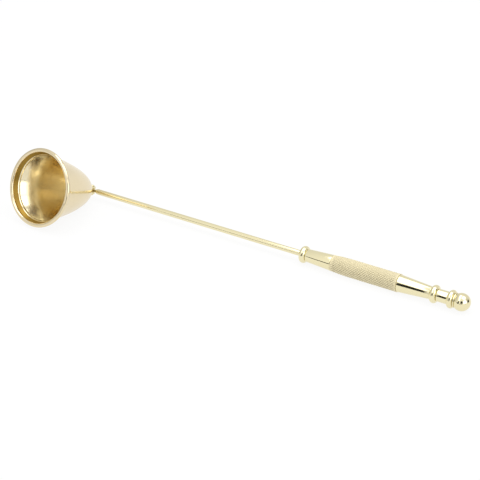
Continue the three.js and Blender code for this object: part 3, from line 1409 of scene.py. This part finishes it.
@dataclass(frozen=True)
class Card:
    """A flat card that stands in the studio and shows only in the metal's reflections.

    Attributes:
        name: The card's name.
        middle: The middle of its lower edge in metres.
        width: Its width in metres.
        height: Its height in metres.
        heading: The angle, in degrees, that its width is turned from the X axis.
        tone: How light it is.
    """

    name: str
    middle: Point
    width: float
    height: float
    heading: float
    tone: float

    HIDDEN_FROM = ("camera", "diffuse", "shadow", "transmission", "volume_scatter")

    def stand(self) -> None:
        """Puts the card up, seen by reflections alone."""
        heading = math.radians(self.heading)
        across = Vector((math.cos(heading), math.sin(heading), 0.0)) * self.width / 2
        rise = Vector((0.0, 0.0, self.height))
        low = Vector(self.middle) - across
        high = Vector(self.middle) + across
        card = studio_sheet(self.name, [low, high, high + rise, low + rise], self._material())
        for kind in self.HIDDEN_FROM:
            setattr(card, f"visible_{kind}", False)

    def _material(self) -> bpy.types.Material:
        """Makes the card's plain tone, which no light changes.

        Returns:
            The material.
        """
        material = bpy.data.materials.new(self.name)
        graph = NodeGraph.blank(material)
        tone = (self.tone, self.tone, self.tone, 1.0)
        glow = graph.add("Emission", {"Color": tone, "Strength": 1.0})
        graph.add("OutputMaterial", {"Surface": glow.outputs[0]})
        return material


@dataclass(frozen=True)
class SoftBox:
    """A soft box that hangs over the snuffer and faces down.

    Attributes:
        name: The soft box's name.
        middle: What it hangs over, in metres.
        size: Its width and depth in metres.
    """

    name: str
    middle: tuple[float, float]
    size: tuple[float, float]

    def hang(self, height: float, level: float) -> None:
        """Hangs the soft box.

        Args:
            height: How high it hangs, in metres.
            level: How bright it is, as a share of white.
        """
        width, depth = self.size
        lamp = bpy.data.lights.new(self.name, "AREA")
        lamp.shape = "RECTANGLE"
        lamp.size = width
        lamp.size_y = depth
        lamp.energy = level * math.pi * width * depth
        soft_box = placed(self.name, lamp)
        soft_box.location = (*self.middle, height)
        soft_box.visible_camera = False


@dataclass
class Studio:
    """A white floor under two soft boxes, with dark and bright cards that show in the metal.

    Attributes:
        floor_drop: How far under the snuffer the floor is, in metres.
        floor_glow_share: How much of the floor's white is its own, the rest taking shadow.
        fill_level: The world's light on matt surfaces.
        front_level: The world's white at the front in reflections.
        back_level: The world's white at the back in reflections.
        side_start: How far to a side reflections start to dim, 1 being straight sideways.
        side_share: What is left of the white straight sideways.
    """

    floor_size: float = 6.0
    floor_drop: float = 0.00005
    floor_white: float = 0.85
    floor_glow_share: float = 0.9
    soft_box_height: float = 0.8
    soft_box_level: float = 1.75
    soft_boxes: tuple[SoftBox, ...] = (
        SoftBox("left_soft_box", middle=(-0.18, -0.22), size=(0.3, 1.35)),
        SoftBox("back_soft_box", middle=(0.41, 0.1275), size=(0.58, 0.655)),
    )
    fill_level: float = 0.95
    front_level: float = 1.1
    back_level: float = 0.85
    side_start: float = 0.45
    side_share: float = 0.6
    cards: tuple[Card, ...] = (
        Card("left_flag", (0.0375, -0.2, 0.0), width=0.075, height=0.14, heading=0.0, tone=0.02),
        Card("front_strip", (-0.41, -0.75, 0.0), width=0.28, height=0.14, heading=0.0, tone=0.05),
        Card("low_strip", (0.25, -0.75, 0.0), width=0.5, height=0.05, heading=0.0, tone=0.05),
        Card("camera_flag", (0.403, -0.746, 0.12), width=0.45, height=0.6, heading=34.0, tone=0.05),
        Card("right_flag", (0.25, 0.09, 0.008), width=0.06, height=0.055, heading=118.0, tone=0.02),
        Card("right_panel", (0.95, -0.35, 0.1), width=0.9, height=0.9, heading=80.0, tone=2.2),
    )

    def build(self) -> None:
        """Builds the floor, the world, the soft boxes and the cards."""
        self._build_floor()
        self._build_world()
        for soft_box in self.soft_boxes:
            soft_box.hang(self.soft_box_height, self.soft_box_level)
        for card in self.cards:
            card.stand()

    def _build_floor(self) -> None:
        """Builds the white floor, which keeps the snuffer's soft shadow."""
        material = bpy.data.materials.new("floor_white")
        graph = NodeGraph.blank(material)
        white = (self.floor_white, self.floor_white, self.floor_white, 1.0)
        matt = graph.add("BsdfDiffuse", {"Color": white})
        glow = graph.add("Emission", {"Color": WHITE, "Strength": 1.0})
        path = graph.add("LightPath").outputs
        seen = graph.math("MAXIMUM", path["Is Camera Ray"], path["Is Glossy Ray"])
        seen = graph.math("MAXIMUM", seen, path["Is Transmission Ray"])
        mix = graph.add("MixShader", {"Fac": graph.math("MULTIPLY", seen, self.floor_glow_share)})
        graph.feed(mix, 1, matt.outputs[0])
        graph.feed(mix, 2, glow.outputs[0])
        graph.add("OutputMaterial", {"Surface": mix.outputs[0]})
        half = self.floor_size / 2
        sides = ((-half, -half), (half, -half), (half, half), (-half, half))
        studio_sheet("floor", [(x, y, -self.floor_drop) for x, y in sides], material)

    def _build_world(self) -> None:
        """Builds the world: plain white to the eye, dimmer at its back and sides in reflections."""
        world = bpy.data.worlds.new("white_studio")
        bpy.context.scene.world = world
        graph = NodeGraph.blank(world)
        direction = graph.add("TexCoord").outputs["Generated"]
        parts = graph.add("SeparateXYZ", {"Vector": direction}).outputs
        level = graph.remap(parts["Y"], (-1.0, 1.0), (self.front_level, self.back_level))
        sideways = graph.math("ABSOLUTE", parts["X"])
        share = graph.remap(sideways, (self.side_start, 1.0), (1.0, self.side_share))
        level = graph.math("MULTIPLY", level, share)
        path = graph.add("LightPath").outputs
        fill = graph.math("MULTIPLY", path["Is Diffuse Ray"], self.fill_level)
        mirrored = graph.math("MULTIPLY", path["Is Glossy Ray"], level)
        seen = graph.math("MAXIMUM", path["Is Camera Ray"], path["Is Transmission Ray"])
        strength = graph.math("ADD", graph.math("ADD", fill, mirrored), seen)
        background = graph.add("Background", {"Color": WHITE, "Strength": strength})
        graph.add("OutputWorld", {"Surface": background.outputs[0]})


@dataclass
class PhotoCamera:
    """The photograph's camera, to the right of the snuffer and above it.

    Attributes:
        azimuth: Degrees to the right of a view along +Y.
        elevation: Degrees above level.
        distance: Millimetres from what it aims at.
        focal_pixels: Its focal length in the photograph's pixels.
        aim: What it aims at on the table, in millimetres from under the hinge.
    """

    azimuth: float = 32.697
    elevation: float = 28.432
    distance: float = 706.535
    focal_pixels: float = 1358.071
    aim: tuple[float, float] = (95.66, 2.447)

    FRAME_PIXELS = 480
    SENSOR_WIDTH = 36.0
    CLIP_START = 0.01

    def set_up(self, pivot: Pivot) -> None:
        """Makes the camera and gives it to the scene.

        Args:
            pivot: The hinge that the aim is measured from.
        """
        data = bpy.data.cameras.new("photo_camera")
        data.sensor_width = self.SENSOR_WIDTH
        data.lens = self.SENSOR_WIDTH * self.focal_pixels / self.FRAME_PIXELS
        data.clip_start = self.CLIP_START
        camera = placed("photo_camera", data)
        turn = math.radians(self.azimuth)
        rise = math.radians(self.elevation)
        level = math.cos(rise)
        away = Vector((math.sin(turn) * level, -math.cos(turn) * level, math.sin(rise)))
        aim_x, aim_y = self.aim
        target = Vector((pivot.place.x + aim_x * MM, pivot.place.y + aim_y * MM, 0.0))
        camera.location = target + away * self.distance * MM
        camera.rotation_euler = (-away).to_track_quat("-Z", "Y").to_euler()
        bpy.context.scene.camera = camera


def main() -> None:
    """Builds the camera, the studio and the snuffer's two sides, in that order."""
    logging.basicConfig(level=logging.INFO, format="%(name)s: %(message)s")
    bpy.context.scene.view_settings.view_transform = "Standard"
    bpy.context.scene.cycles.glossy_bounces = GLOSSY_BOUNCES
    pivot = Pivot.of_frame(frame)
    PhotoCamera().set_up(pivot)
    Studio().build()
    BellAssembly(pivot).build()
    HandleAssembly(pivot).build()


if __name__ == "__main__":
    main()
